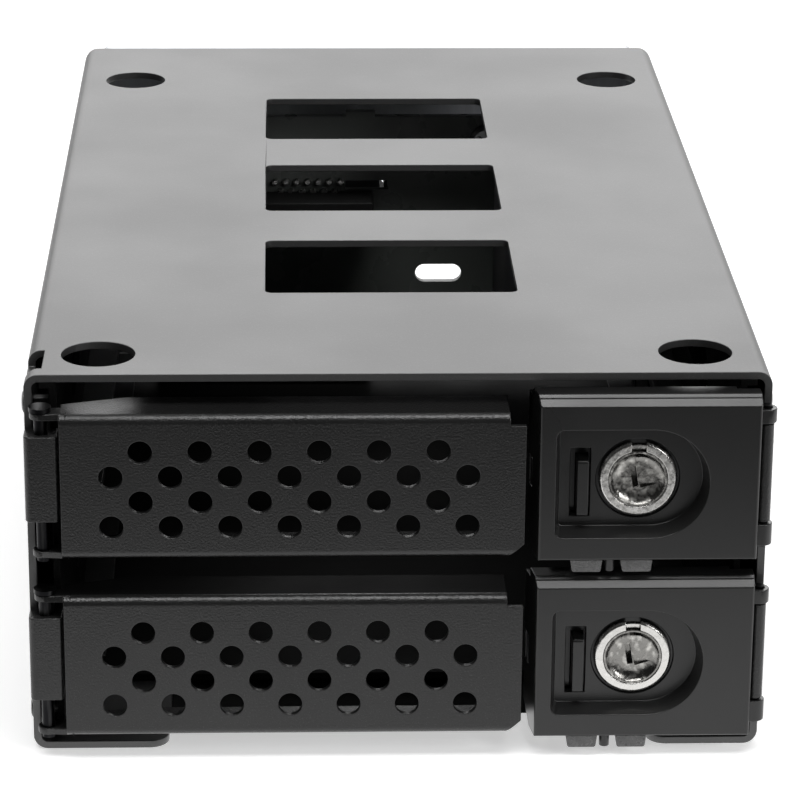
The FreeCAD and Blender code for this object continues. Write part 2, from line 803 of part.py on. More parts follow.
def make_lock_plug(name, level):
    # Dished key plug with a keyway and a wedge-shaped lead to it.
    body = new_body(name)
    lock_z = level + c.handle_rise - c.lock_drop
    face = door_y + c.dish_depth
    r = c.plug_radius
    turned(body, "YZ", c.lock_side, 0, lock_z, "H_Axis", [
        (face + 0.05, 0), (face - 0.15, 1.9), (face - 0.65, r - 0.55), (face - 0.65, r - 0.2),
        (face - 0.45, r), (face + 4.4, r), (face + 4.4, 2.0), (face + 6.2, 2.0), (face + 6.2, 0)])
    pocket(body, "XZ", face - 0.7, face + 1.6, box(
        c.lock_side - 0.45, lock_z - 1.5, c.lock_side + 0.45, lock_z + 0.4))
    pocket(body, "XZ", face - 0.7, face + 0.15, outline(
        (c.lock_side - 0.5, lock_z + r + 0.5), (c.lock_side + 0.2, lock_z + 0.4),
        (c.lock_side + 1.5, lock_z + 0.2), (c.lock_side + 0.5, lock_z + r + 0.5)))


def make_lock_cam(name, level):
    body = new_body(name)
    lock_z = level + c.handle_rise - c.lock_drop
    y1 = door_y + c.dish_depth + 5.0
    x = c.lock_side
    pad(body, "XZ", y1, y1 + 1.0, outline(
        (x - 3, lock_z + 3, 2.9), (x - 3, lock_z - 6), (x - 2, lock_z - 9, 0.8),
        (x + 2, lock_z - 9, 0.8), (x + 3, lock_z - 6), (x + 3, lock_z + 3, 2.9)))
    pocket(body, "XZ", y1, y1 + 1.0, circles([(x, lock_z)], 2.0))


def make_lens(name, level, start, end):
    body = new_body(name)
    high = level - c.handle_fall
    low = high - 2.0
    pad(body, "XZ", door_y + 0.4, door_y + 5.3, outline(
        (start, high), (start + 0.35, low, 0.4), (end - 0.25, low, 0.4), (end, high)))


def make_handle_hinge(name, level):
    # Fixed knuckle between the handle's lugs, on a leaf inside the cover wall.
    body = new_body(name)
    spans = lug_spans(level)
    low, high = spans[0][1] + 0.3, spans[1][0] - 0.3
    leaf = wall_in - 1.1
    pad(body, "XY", low, high, circles([(c.handle_axis, handle_y)], 1.15))
    pad(body, "XY", low + 1, high - 1, outline(
        (leaf, front + 12), (wall_in, front + 12), (wall_in, front), (half - 0.2, front),
        (half - 0.2, handle_y), (c.handle_axis - 0.7, handle_y), (leaf, front - 0.6)))
    pocket(body, "XY", low, high, circles([(c.handle_axis, handle_y)], c.handle_pin_radius))


def make_handle_pin(name, level):
    body = new_body(name)
    r = c.handle_pin_radius
    spans = lug_spans(level)
    low, high = spans[0][0] - 0.4, spans[1][1] + 0.4
    turned(body, "XZ", handle_y, c.handle_axis, 0, "V_Axis", [
        (0, low), (r, low), (r, high), (0, high)])


def make_pusher(name, level):
    # Spring-loaded plunger that starts the drive out of its socket.
    body = new_body(name)
    r = c.pusher_radius
    y1 = front + c.pusher_start
    stop = board_back + c.bracket_sheet + 7.2
    turned(body, "YZ", c.pusher_side, 0, level, "H_Axis", [
        (y1, 0), (y1, 3.6), (y1 + 1, 4.8), (y1 + 2.5, 4.8), (y1 + 2.5, r), (stop, r),
        (stop, r + 1.2), (stop + 1.5, r + 1.2), (stop + 1.5, 0)])


def make_pusher_spring(name, level):
    # Compression spring between the plunger's head and the bracket.  Its wire is
    # six-sided and runs straight from step to step, ten steps to a turn.
    wire, coil_radius, turns, steps = 0.4, 3.7, 4, 10
    y1 = (front + c.pusher_start + 2.5).value + wire
    y2 = board_back.value - wire
    path = []
    for step in range(turns * steps + 1):
        angle = 2 * math.pi * step / steps
        y = y1 + (y2 - y1) * step / (turns * steps)
        path.append(Vector(coil_radius * math.cos(angle), y, coil_radius * math.sin(angle)))
    heading = (path[1] - path[0]).normalize()
    outward = Vector(1, 0, 0)
    upward = heading.cross(outward).normalize()
    section = []
    for corner in range(7):
        angle = 2 * math.pi * corner / 6
        section.append(path[0] + outward * (wire * math.cos(angle)) + upward * (wire * math.sin(angle)))
    coil = Part.Wire(Part.makePolygon(path)).makePipeShell([Part.makePolygon(section)], True, False, 1)
    coil.translate(Vector(c.pusher_side.value, 0, level.value))
    spring = doc.addObject("Part::Feature", name)
    spring.Label = name
    spring.Shape = coil
    nodes.append(spring)


def make_screw(seat, outward, head_radius, head_height, radius, length):
    # A low cone head on its seat, with a plain shank behind it.
    head = Part.makeCone(head_radius, head_radius - 0.4, head_height, seat, outward)
    return head.fuse(Part.makeCylinder(radius, length, seat, outward * -1))


def make_board_screws():
    shapes = []
    for x, z in board_screw_spots:
        y = board_front.value
        shapes.append(make_screw(Vector(x, y, z), Vector(0, -1, 0), 2.6, 1.5, 1.3, 3.9))
    group("board_screws", shapes)


def make_side_screws():
    shapes = []
    for side in (-1, 1):
        outward = Vector(side, 0, 0)
        for y, z in side_screw_spots():
            seat = Vector(half.value * side, y.value, z.value)
            shapes.append(make_screw(seat, outward, 1.7, 0.55, 1.05, 4.5))
    group("side_screws", shapes)


make_cover()
make_floor_plate()
make_guide("guide_left", -1)
make_guide("guide_right", 1)
make_backplane()
make_bracket("board_bracket_left", -1, Size(-44.0), False)
make_bracket("board_bracket_right", 1, Size(19.0), True)
make_power_port()
make_rear_frame()
make_board_screws()
make_side_screws()
for bay, level in levels.items():
    start, thick = (c.rail_start, c.rail_thick) if bay == "upper" else (c.floor_start + 2, 0.7)
    make_rail(f"rail_left_{bay}", -1, level, start, thick)
    make_rail(f"rail_right_{bay}", 1, level, start, thick)
    make_socket(f"drive_socket_{bay}", level)
    make_data_port(f"data_port_{bay}", level)
    make_led_board(f"led_board_{bay}", level)
    make_leds(f"leds_{bay}", level)
    make_hinge_block(f"hinge_block_{bay}", level)
    make_hinge_pin(f"hinge_pin_{bay}", level)
    make_door(f"door_{bay}", level)
    make_handle_hinge(f"handle_hinge_{bay}", level)
    make_handle_pin(f"handle_pin_{bay}", level)
    make_handle(f"handle_{bay}", level)
    make_handle_back(f"handle_back_{bay}", level)
    make_handle_screws(f"handle_screws_{bay}", level)
    make_lever_pin(f"lever_pin_{bay}", level)
    make_release_lever(f"release_lever_{bay}", level)
    make_lock_housing(f"lock_housing_{bay}", level)
    make_lock_plug(f"lock_plug_{bay}", level)
    make_lock_cam(f"lock_cam_{bay}", level)
    for lens, (start, end) in lens_spots.items():
        make_lens(f"lens_{lens}_{bay}", level, start, end)
    make_pusher(f"pusher_{bay}", level)
    make_pusher_spring(f"pusher_spring_{bay}", level)

doc.recompute()
for item in doc.Objects:
    if "Invalid" in item.State or "Error" in item.State:
        raise RuntimeError(f"{item.Name} failed: {item.State}")
for node in nodes:
    if node.Shape.isNull() or not node.Shape.isValid():
        raise RuntimeError(f"{node.Label} has no valid shape")
    node.Shape.exportStep(f"parts/{node.Label}.step")
    box_size = node.Shape.BoundBox
    print(f"{node.Label:22s} {len(node.Shape.Solids):2d} solids {node.Shape.Volume:10.1f} mm3  "
          f"{box_size.XLength:6.1f} x {box_size.YLength:6.1f} x {box_size.ZLength:6.1f}")
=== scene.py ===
import json
import math
import bpy
from mathutils import Matrix, Vector


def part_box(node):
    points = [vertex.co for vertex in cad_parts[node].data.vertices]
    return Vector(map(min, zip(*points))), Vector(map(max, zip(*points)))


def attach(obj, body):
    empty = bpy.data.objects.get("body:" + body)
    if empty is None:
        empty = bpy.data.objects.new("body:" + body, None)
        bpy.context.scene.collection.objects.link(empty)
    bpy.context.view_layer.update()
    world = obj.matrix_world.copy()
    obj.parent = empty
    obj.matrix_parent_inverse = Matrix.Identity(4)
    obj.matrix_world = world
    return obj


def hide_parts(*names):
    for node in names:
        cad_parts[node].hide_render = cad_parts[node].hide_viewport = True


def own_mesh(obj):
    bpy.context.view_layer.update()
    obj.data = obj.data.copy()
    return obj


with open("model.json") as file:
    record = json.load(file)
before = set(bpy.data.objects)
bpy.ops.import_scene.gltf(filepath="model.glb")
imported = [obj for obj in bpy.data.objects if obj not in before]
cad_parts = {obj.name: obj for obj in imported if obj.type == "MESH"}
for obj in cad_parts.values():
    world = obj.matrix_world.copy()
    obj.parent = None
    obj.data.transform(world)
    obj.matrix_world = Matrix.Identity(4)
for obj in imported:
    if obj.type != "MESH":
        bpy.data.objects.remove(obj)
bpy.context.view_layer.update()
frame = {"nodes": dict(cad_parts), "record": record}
nodes = frame["nodes"]
mm = 0.001
bays = ["upper", "lower"]
bodyOf = {node: body for body, members in frame["record"]["behaviour"]["bodies"].items()
          for node in members}
print("frame loaded:", len(nodes), "nodes")

bpy.context.scene.view_settings.view_transform = "Standard"

studio = {
    "cameraAt": (-0.0177, -0.5902, 0.2438),
    "pitchDown": 20.354, "yawRight": 2.03, "roll": 0.45,
    "lens": 161.5, "sensor": 36,
    "floorSize": 30, "floorColour": 0.8, "floorGlow": 0.5, "floorMirror": 1.3,
    "mirrorEdge": (-0.11, -0.25), "underneath": ((-0.054, -0.076), (0.054, 0.1021)),
    "worldMirror": 0.66, "shade": 0.02,
    "worldLight": 0.3, "worldFront": 0.06, "worldTurn": (-0.25, 0.3),
}
lamps = {
    "backLight": {"at": (0.1, 1.5, 0.72), "size": (2.0, 0.7), "power": 11.5},
    "topLight": {"at": (0.0, -0.45, 1.45), "size": (1.3, 0.5), "power": 17},
    "sideLight": {"at": (0.95, -0.75, 0.6), "size": (0.35, 0.5), "power": 6},
}


def addCamera():
    camera = bpy.data.cameras.new("camera")
    camera.lens = studio["lens"]
    camera.sensor_width = studio["sensor"]
    camera.clip_start = 0.02
    camera.clip_end = 60
    holder = bpy.data.objects.new("camera", camera)
    bpy.context.scene.collection.objects.link(holder)
    pitch = math.radians(90 - studio["pitchDown"])
    turn = Matrix.Rotation(math.radians(-studio["yawRight"]), 4, "Z")
    tilt = Matrix.Rotation(pitch, 4, "X")
    roll = Matrix.Rotation(math.radians(studio["roll"]), 4, "Z")
    holder.matrix_world = Matrix.Translation(studio["cameraAt"]) @ turn @ tilt @ roll
    bpy.context.scene.camera = holder


def addLight(name, look, aim=(0, 0, 0.03)):
    light = bpy.data.lights.new(name, "AREA")
    light.shape = "RECTANGLE"
    light.size, light.size_y = look["size"]
    light.energy = look["power"]
    holder = bpy.data.objects.new(name, light)
    bpy.context.scene.collection.objects.link(holder)
    holder.location = look["at"]
    toward = Vector(aim) - Vector(look["at"])
    holder.rotation_euler = toward.to_track_quat("-Z", "Y").to_euler()
    holder.visible_camera = False


def addMath(tree, operation, *inputs):
    node = tree.nodes.new("ShaderNodeMath")
    node.operation = operation
    for socket, value in zip(node.inputs, inputs):
        if isinstance(value, (int, float)):
            socket.default_value = value
        else:
            tree.links.new(value, socket)
    return node.outputs[0]


def addRamp(tree, value, start, end, low, high, smooth=True):
    ramp = tree.nodes.new("ShaderNodeMapRange")
    ramp.interpolation_type = "SMOOTHSTEP" if smooth else "LINEAR"
    ramp.inputs["From Min"].default_value = start
    ramp.inputs["From Max"].default_value = end
    ramp.inputs["To Min"].default_value = low
    ramp.inputs["To Max"].default_value = high
    tree.links.new(value, ramp.inputs["Value"])
    return ramp.outputs["Result"]


def mixColour(tree, factor, first, second):
    mix = tree.nodes.new("ShaderNodeMix")
    mix.data_type = "RGBA"
    tree.links.new(factor, mix.inputs["Factor"])
    for socket, colour in (("A", first), ("B", second)):
        if isinstance(colour, tuple):
            mix.inputs[socket].default_value = (*colour, 1)
        else:
            tree.links.new(colour, mix.inputs[socket])
    return mix.outputs["Result"]


def addWorld():
    # White behind the part, dark in front of it, as in a booth open at the front.
    world = bpy.data.worlds.new("studioWorld")
    world.use_nodes = True
    tree = world.node_tree
    tree.nodes.clear()
    path = tree.nodes.new("ShaderNodeLightPath")
    place = tree.nodes.new("ShaderNodeTexCoord")
    axes = tree.nodes.new("ShaderNodeSeparateXYZ")
    tree.links.new(place.outputs["Generated"], axes.inputs[0])
    booth = addRamp(tree, axes.outputs["Y"], *studio["worldTurn"], studio["worldFront"], 1)
    mirrored = addMath(tree, "MAXIMUM", path.outputs["Is Glossy Ray"],
                       path.outputs["Is Transmission Ray"])
    plain = addMath(tree, "MULTIPLY", booth, studio["worldLight"])
    lit = addMath(tree, "MAXIMUM", plain, addMath(tree, "MULTIPLY", booth,
                  addMath(tree, "MULTIPLY", mirrored, studio["worldMirror"])))
    strength = addMath(tree, "MAXIMUM", lit, path.outputs["Is Camera Ray"])
    white = tree.nodes.new("ShaderNodeBackground")
    white.inputs["Color"].default_value = (1, 1, 1, 1)
    tree.links.new(strength, white.inputs["Strength"])
    output = tree.nodes.new("ShaderNodeOutputWorld")
    tree.links.new(white.outputs[0], output.inputs["Surface"])
    bpy.context.scene.world = world


def addFloor():
    bpy.ops.mesh.primitive_plane_add(size=studio["floorSize"], location=(0, 0, 0))
    floor = bpy.context.active_object
    floor.name = "studioFloor"
    material = bpy.data.materials.new("studioFloor")
    material.use_nodes = True
    tree = material.node_tree
    shader = tree.nodes["Principled BSDF"]
    shader.inputs["Roughness"].default_value = 0.9
    shader.inputs["Specular IOR Level"].default_value = 0.1
    place = tree.nodes.new("ShaderNodeTexCoord")
    axes = tree.nodes.new("ShaderNodeSeparateXYZ")
    tree.links.new(place.outputs["Object"], axes.inputs[0])
    # Inside the part's footprint the floor takes the near-black shade colour and no glow: painted
    # shade under the part.
    (left, front), (right, back) = studio["underneath"]
    beside = addMath(tree, "GREATER_THAN", addMath(tree, "ABSOLUTE", axes.outputs["X"]), right)
    middle, reach = (front + back) / 2, (back - front) / 2
    along = addMath(tree, "ABSOLUTE", addMath(tree, "SUBTRACT", axes.outputs["Y"], middle))
    outside = addMath(tree, "MAXIMUM", beside, addMath(tree, "GREATER_THAN", along, reach))
    colour = mixColour(tree, outside, (studio["shade"],) * 3, (studio["floorColour"],) * 3)
    tree.links.new(colour, shader.inputs["Base Color"])
    path = tree.nodes.new("ShaderNodeLightPath")
    glow = tree.nodes.new("ShaderNodeEmission")
    seen = addMath(tree, "MULTIPLY", path.outputs["Is Camera Ray"], outside)
    tree.links.new(addMath(tree, "MULTIPLY", seen, studio["floorGlow"]), glow.inputs["Strength"])
    both = tree.nodes.new("ShaderNodeAddShader")
    tree.links.new(shader.outputs[0], both.inputs[0])
    tree.links.new(glow.outputs[0], both.inputs[1])
    # Seen in reflections the floor glows brightest next to the part, fades toward the front and
    # stays dark under it: a painted reflection.
    mirror = tree.nodes.new("ShaderNodeEmission")
    nearEdge, farEdge = studio["mirrorEdge"]
    paintedReflectionFade = addRamp(tree, axes.outputs["Y"], farEdge, nearEdge, studio["worldFront"],
                   studio["floorMirror"])
    tree.links.new(addMath(tree, "MULTIPLY", paintedReflectionFade, outside), mirror.inputs["Strength"])
    mix = tree.nodes.new("ShaderNodeMixShader")
    tree.links.new(path.outputs["Is Glossy Ray"], mix.inputs["Fac"])
    tree.links.new(both.outputs[0], mix.inputs[1])
    tree.links.new(mirror.outputs[0], mix.inputs[2])
    tree.links.new(mix.outputs[0], tree.nodes["Material Output"].inputs["Surface"])
    floor.data.materials.append(material)


addCamera()
addWorld()
addFloor()
for lamp, look in lamps.items():
    addLight(lamp, look)
print("studio ready")


def newGroup(name, inputs, outputs):
    group = bpy.data.node_groups.new(name, "ShaderNodeTree")
    for label, kind, value in inputs:
        socket = group.interface.new_socket(label, in_out="INPUT", socket_type=kind)
        socket.default_value = value
    for label, kind in outputs:
        group.interface.new_socket(label, in_out="OUTPUT", socket_type=kind)
    entry = group.nodes.new("NodeGroupInput")
    leave = group.nodes.new("NodeGroupOutput")
    return group, entry, leave


def addNoise(tree, place, scale, detail):
    noise = tree.nodes.new("ShaderNodeTexNoise")
    noise.inputs["Detail"].default_value = detail
    tree.links.new(place, noise.inputs["Vector"])
    tree.links.new(scale, noise.inputs["Scale"])
    return noise.outputs["Fac"]


def grainGroup():
    # Fine lumps and sparkling specks of a sprayed or moulded surface.
    group, entry, leave = newGroup("surfaceGrain", [
        ("Grain Scale", "NodeSocketFloat", 1800), ("Speck Scale", "NodeSocketFloat", 3200),
        ("Speck Amount", "NodeSocketFloat", 0.2), ("Patch Scale", "NodeSocketFloat", 60),
    ], [("Height", "NodeSocketFloat"), ("Speck", "NodeSocketFloat"), ("Patch", "NodeSocketFloat")])
    place = group.nodes.new("ShaderNodeTexCoord").outputs["Object"]
    lumps = addNoise(group, place, entry.outputs["Grain Scale"], 3)
    specks = addNoise(group, place, entry.outputs["Speck Scale"], 1)
    patches = addNoise(group, place, entry.outputs["Patch Scale"], 4)
    bright = addRamp(group, specks, 0.62, 0.74, 0, 1, smooth=False)
    amount = addMath(group, "MULTIPLY", bright, entry.outputs["Speck Amount"])
    group.links.new(lumps, leave.inputs["Height"])
    group.links.new(amount, leave.inputs["Speck"])
    group.links.new(patches, leave.inputs["Patch"])
    return group


def scratchGroup():
    # Short fine scratches, drawn out along one axis of the piece.
    group, entry, leave = newGroup("fineScratches", [
        ("Stretch", "NodeSocketVector", (1, 1, 1)), ("Scale", "NodeSocketFloat", 900),
    ], [("Height", "NodeSocketFloat"), ("Mask", "NodeSocketFloat")])
    place = group.nodes.new("ShaderNodeTexCoord")
    stretch = group.nodes.new("ShaderNodeVectorMath")
    stretch.operation = "MULTIPLY"
    group.links.new(place.outputs["Object"], stretch.inputs[0])
    group.links.new(entry.outputs["Stretch"], stretch.inputs[1])
    lines = addNoise(group, stretch.outputs[0], entry.outputs["Scale"], 4)
    group.links.new(lines, leave.inputs["Height"])
    group.links.new(addRamp(group, lines, 0.5, 0.72, 0, 1, smooth=False), leave.inputs["Mask"])
    return group


surfaceGrain = grainGroup()
fineScratches = scratchGroup()


def startMaterial(name, group, settings):
    material = bpy.data.materials.new(name)
    material.use_nodes = True
    tree = material.node_tree
    effect = tree.nodes.new("ShaderNodeGroup")
    effect.node_tree = group
    for socket, value in settings.items():
        effect.inputs[socket].default_value = value
    return material, tree, tree.nodes["Principled BSDF"], effect.outputs


def addBump(tree, shader, height, strength, depth):
    bump = tree.nodes.new("ShaderNodeBump")
    bump.inputs["Strength"].default_value = strength
    bump.inputs["Distance"].default_value = depth * mm
    tree.links.new(height, bump.inputs["Height"])
    tree.links.new(bump.outputs["Normal"], shader.inputs["Normal"])


def grainyMaterial(name, look):
    # Paint or plastic with grain, specks and faint patches.
    material, tree, shader, effect = startMaterial(name, surfaceGrain, {
        "Grain Scale": look["grainScale"], "Speck Scale": look["grainScale"] * 1.7,
        "Speck Amount": look["specks"], "Patch Scale": look["patchScale"]})
    colour = mixColour(tree, effect["Speck"], look["colour"], look["speckColour"])
    tree.links.new(colour, shader.inputs["Base Color"])
    gloss = addRamp(tree, effect["Patch"], 0.3, 0.7, *look["roughness"])
    tree.links.new(gloss, shader.inputs["Roughness"])
    shader.inputs["Specular IOR Level"].default_value = look["specular"]
    addBump(tree, shader, effect["Height"], look["bump"], look["bumpDepth"])
    return material


def metalMaterial(name, look):
    material, tree, shader, effect = startMaterial(name, fineScratches, {
        "Stretch": look["stretch"], "Scale": look["scale"]})
    colour = mixColour(tree, effect["Mask"], look["colour"], look["scratchColour"])
    tree.links.new(colour, shader.inputs["Base Color"])
    gloss = addRamp(tree, effect["Height"], 0.3, 0.7, *look["roughness"])
    tree.links.new(gloss, shader.inputs["Roughness"])
    shader.inputs["Metallic"].default_value = 1
    addBump(tree, shader, effect["Height"], look["bump"], look["bumpDepth"])
    return material


grainyLooks = {
    "coverCoat": {
        "colour": (0.022, 0.022, 0.022), "speckColour": (0.10, 0.10, 0.10), "specks": 0.35,
        "grainScale": 2600, "patchScale": 25, "roughness": (0.40, 0.45), "specular": 1.0,
        "bump": 0.22, "bumpDepth": 0.05},
    # Black powder coat of the doors and hinge blocks, darker than the cover's coat; the darker
    # colour is painted shade.
    "doorCoatWithPaintedShade": {
        "colour": (0.008, 0.008, 0.008), "speckColour": (0.08, 0.08, 0.08), "specks": 0.35,
        "grainScale": 3000, "patchScale": 45, "roughness": (0.30, 0.38), "specular": 0.5,
        "bump": 0.9, "bumpDepth": 0.08},
    # The inner cage's black paint, made darker and far less shiny than the outer coat so that it
    # also stands for the shade inside (painted shade).
    "innerPaintWithPaintedShade": {
        "colour": (0.004, 0.004, 0.004), "speckColour": (0.014, 0.014, 0.014), "specks": 0.2,
        "grainScale": 2000, "patchScale": 40, "roughness": (0.5, 0.6), "specular": 0.03,
        "bump": 0.25, "bumpDepth": 0.05},
    "ceramic": {
        "colour": (0.14, 0.10, 0.07), "speckColour": (0.22, 0.17, 0.12), "specks": 0.2,
        "grainScale": 2500, "patchScale": 300, "roughness": (0.3, 0.4), "specular": 0.4,
        "bump": 0.1, "bumpDepth": 0.02},
    "handlePlastic": {
        "colour": (0.011, 0.011, 0.011), "speckColour": (0.04, 0.04, 0.04), "specks": 0.15,
        "grainScale": 4200, "patchScale": 60, "roughness": (0.27, 0.33), "specular": 0.5,
        "bump": 0.16, "bumpDepth": 0.03},
    "darkNylon": {
        "colour": (0.008, 0.008, 0.008), "speckColour": (0.03, 0.03, 0.03), "specks": 0.1,
        "grainScale": 3200, "patchScale": 70, "roughness": (0.45, 0.55), "specular": 0.3,
        "bump": 0.15, "bumpDepth": 0.03},
    "solderMask": {
        "colour": (0.085, 0.092, 0.086), "speckColour": (0.12, 0.13, 0.12), "specks": 0.3,
        "grainScale": 1200, "patchScale": 90, "roughness": (0.25, 0.33), "specular": 0.4,
        "bump": 0.06, "bumpDepth": 0.02},
    "screwBlack": {
        "colour": (0.012, 0.012, 0.012), "speckColour": (0.1, 0.1, 0.1), "specks": 0.3,
        "grainScale": 3500, "patchScale": 300, "roughness": (0.3, 0.4), "specular": 0.6,
        "bump": 0.15, "bumpDepth": 0.02},
}
metalLooks = {
    "zincSteel": {
        "colour": (0.50, 0.51, 0.53), "scratchColour": (0.64, 0.65, 0.66), "stretch": (1, 1, 0.15),
        "scale": 260, "roughness": (0.32, 0.46), "bump": 0.1, "bumpDepth": 0.02},
    # Zinc-plated steel of the board brackets, made darker than zincSteel so that it stands for the
    # shade inside the cage (painted shade).
    "innerSteelWithPaintedShade": {
        "colour": (0.26, 0.26, 0.27), "scratchColour": (0.36, 0.36, 0.37), "stretch": (1, 1, 0.15),
        "scale": 260, "roughness": (0.4, 0.5), "bump": 0.1, "bumpDepth": 0.02},
    "blackOxide": {
        "colour": (0.012, 0.012, 0.013), "scratchColour": (0.05, 0.05, 0.05), "stretch": (1, 1, 0.1),
        "scale": 900, "roughness": (0.35, 0.45), "bump": 0.1, "bumpDepth": 0.02},
    "pinSteel": {
        "colour": (0.46, 0.46, 0.47), "scratchColour": (0.6, 0.6, 0.6), "stretch": (1, 1, 0.1),
        "scale": 900, "roughness": (0.25, 0.38), "bump": 0.1, "bumpDepth": 0.02},
    "nickel": {
        "colour": (0.62, 0.61, 0.59), "scratchColour": (0.80, 0.79, 0.77), "stretch": (1, 1, 0.6),
        "scale": 1500, "roughness": (0.16, 0.34), "bump": 0.7, "bumpDepth": 0.10},
    "castNickel": {
        "colour": (0.22, 0.215, 0.205), "scratchColour": (0.62, 0.61, 0.58), "stretch": (1, 1, 0.8),
        "scale": 1100, "roughness": (0.18, 0.36), "bump": 0.8, "bumpDepth": 0.12},
    "solder": {
        "colour": (0.42, 0.42, 0.41), "scratchColour": (0.6, 0.6, 0.59), "stretch": (1, 1, 1),
        "scale": 1400, "roughness": (0.25, 0.4), "bump": 0.3, "bumpDepth": 0.05},
    "springWire": {
        "colour": (0.5, 0.5, 0.5), "scratchColour": (0.66, 0.66, 0.66), "stretch": (1, 1, 1),
        "scale": 1200, "roughness": (0.22, 0.34), "bump": 0.1, "bumpDepth": 0.02},
    "goldPlate": {
        "colour": (0.83, 0.62, 0.27), "scratchColour": (0.9, 0.72, 0.4), "stretch": (1, 0.2, 1),
        "scale": 1500, "roughness": (0.2, 0.32), "bump": 0.05, "bumpDepth": 0.01},
}
lensLook = {"colour": (0.07, 0.07, 0.07), "cloud": (0.19, 0.19, 0.19), "grainScale": 1400,
            "patchScale": 500, "roughness": (0.18, 0.34), "transmission": 0.2, "bump": 0.2,
            "bumpDepth": 0.05}


def lensMaterial():
    # Frosted clear plastic, cloudy inside.
    material, tree, shader, effect = startMaterial("lensPlastic", surfaceGrain, {
        "Grain Scale": lensLook["grainScale"], "Patch Scale": lensLook["patchScale"]})
    colour = mixColour(tree, effect["Patch"], lensLook["colour"], lensLook["cloud"])
    tree.links.new(colour, shader.inputs["Base Color"])
    gloss = addRamp(tree, effect["Height"], 0.3, 0.7, *lensLook["roughness"])
    tree.links.new(gloss, shader.inputs["Roughness"])
    shader.inputs["Transmission Weight"].default_value = lensLook["transmission"]
    addBump(tree, shader, effect["Height"], lensLook["bump"], lensLook["bumpDepth"])
    return material


materials = {name: grainyMaterial(name, look) for name, look in grainyLooks.items()}
for name, look in metalLooks.items():
    materials[name] = metalMaterial(name, look)
materials["lensPlastic"] = lensMaterial()
print("materials ready:", len(materials))

finishOf = {
    "cover": "coverCoat", "floor_plate": "innerPaintWithPaintedShade", "guide_left": "innerPaintWithPaintedShade",
    "guide_right": "innerPaintWithPaintedShade", "backplane": "solderMask", "board_bracket_left": "innerSteelWithPaintedShade",
    "board_bracket_right": "innerSteelWithPaintedShade", "power_port": "darkNylon", "rear_frame": "zincSteel",
    "board_screws": "pinSteel", "side_screws": "screwBlack",
}
bayFinishes = {
    "rail_left": "darkNylon", "rail_right": "darkNylon", "drive_socket": "darkNylon",
    "data_port": "darkNylon", "led_board": "solderMask", "leds": "lensPlastic",
    "hinge_block": "doorCoatWithPaintedShade", "hinge_pin": "blackOxide", "door": "doorCoatWithPaintedShade",
    "handle_hinge": "doorCoatWithPaintedShade", "handle_pin": "blackOxide", "handle": "handlePlastic",
    "handle_back": "handlePlastic", "handle_screws": "screwBlack", "lever_pin": "pinSteel",
    "release_lever": "handlePlastic", "lock_housing": "nickel", "lock_plug": "castNickel",
    "lock_cam": "zincSteel", "lens_power": "lensPlastic", "lens_activity": "lensPlastic",
    "pusher": "darkNylon", "pusher_spring": "springWire",
}
for bay in bays:
    for part, finish in bayFinishes.items():
        finishOf[f"{part}_{bay}"] = finish


def wear(piece, material):
    piece.data.materials.clear()
    piece.data.materials.append(materials[material])


def selectOnly(piece):
    bpy.ops.object.select_all(action="DESELECT")
    piece.select_set(True)
    bpy.context.view_layer.objects.active = piece


def applyModifier(piece, kind, **settings):
    modifier = piece.modifiers.new(kind.lower(), kind)
    for name, value in settings.items():
        setattr(modifier, name, value)
    bpy.ops.object.modifier_apply(modifier=modifier.name)


meshRules = {"mergeWithin": 0.002, "flatUnder": 0.5, "bevelOver": 38, "smoothUnder": 42,
             "bevelSteps": 3}


def openWhole(piece):
    selectOnly(piece)
    bpy.ops.object.mode_set(mode="EDIT")
    bpy.ops.mesh.select_all(action="SELECT")


def leaveEdit():
    bpy.ops.object.mode_set(mode="OBJECT")


def mergeSelected():
    bpy.ops.mesh.remove_doubles(threshold=meshRules["mergeWithin"] * mm)


def makeFlatsWhole():
    mergeSelected()
    bpy.ops.mesh.dissolve_limited(angle_limit=math.radians(meshRules["flatUnder"]))


def mergedCopy(node):
    # The CAD form as one closed mesh, with its flat faces whole.
    piece = bpy.data.objects.new(f"{node}_form", nodes[node].data.copy())
    bpy.context.scene.collection.objects.link(piece)
    openWhole(piece)
    bpy.ops.mesh.customdata_custom_splitnormals_clear()
    makeFlatsWhole()
    leaveEdit()
    return piece


def smoothEdges(piece, angle=35):
    selectOnly(piece)
    bpy.ops.object.shade_smooth_by_angle(angle=math.radians(angle))


def roundEdges(piece, width):
    selectOnly(piece)
    applyModifier(piece, "BEVEL", width=width * mm, segments=meshRules["bevelSteps"],
                  limit_method="ANGLE", angle_limit=math.radians(meshRules["bevelOver"]),
                  use_clamp_overlap=False)
    smoothEdges(piece, meshRules["smoothUnder"])
    applyModifier(piece, "WEIGHTED_NORMAL", keep_sharp=True)


def standFor(piece, node):
    # The piece takes the node's finish, body and place. Its points are held inside the
    # node's box, which also presses flat a spike that the bevel leaves on each door.
    low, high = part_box(node)
    for vertex in piece.data.vertices:
        vertex.co = [min(max(spot, least), most) for spot, least, most in zip(vertex.co, low, high)]
    wear(piece, finishOf[node])
    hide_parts(node)
    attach(piece, bodyOf[node])


def pickFaces(piece, test):
    # Leaves the piece in edit mode with only the faces that pass the test selected.
    selectOnly(piece)
    bpy.context.tool_settings.mesh_select_mode = (False, False, True)
    for part in (piece.data.vertices, piece.data.edges):
        part.foreach_set("select", [False] * len(part))
    for face in piece.data.polygons:
        face.select = test(face.center, face.normal)
    bpy.ops.object.mode_set(mode="EDIT")


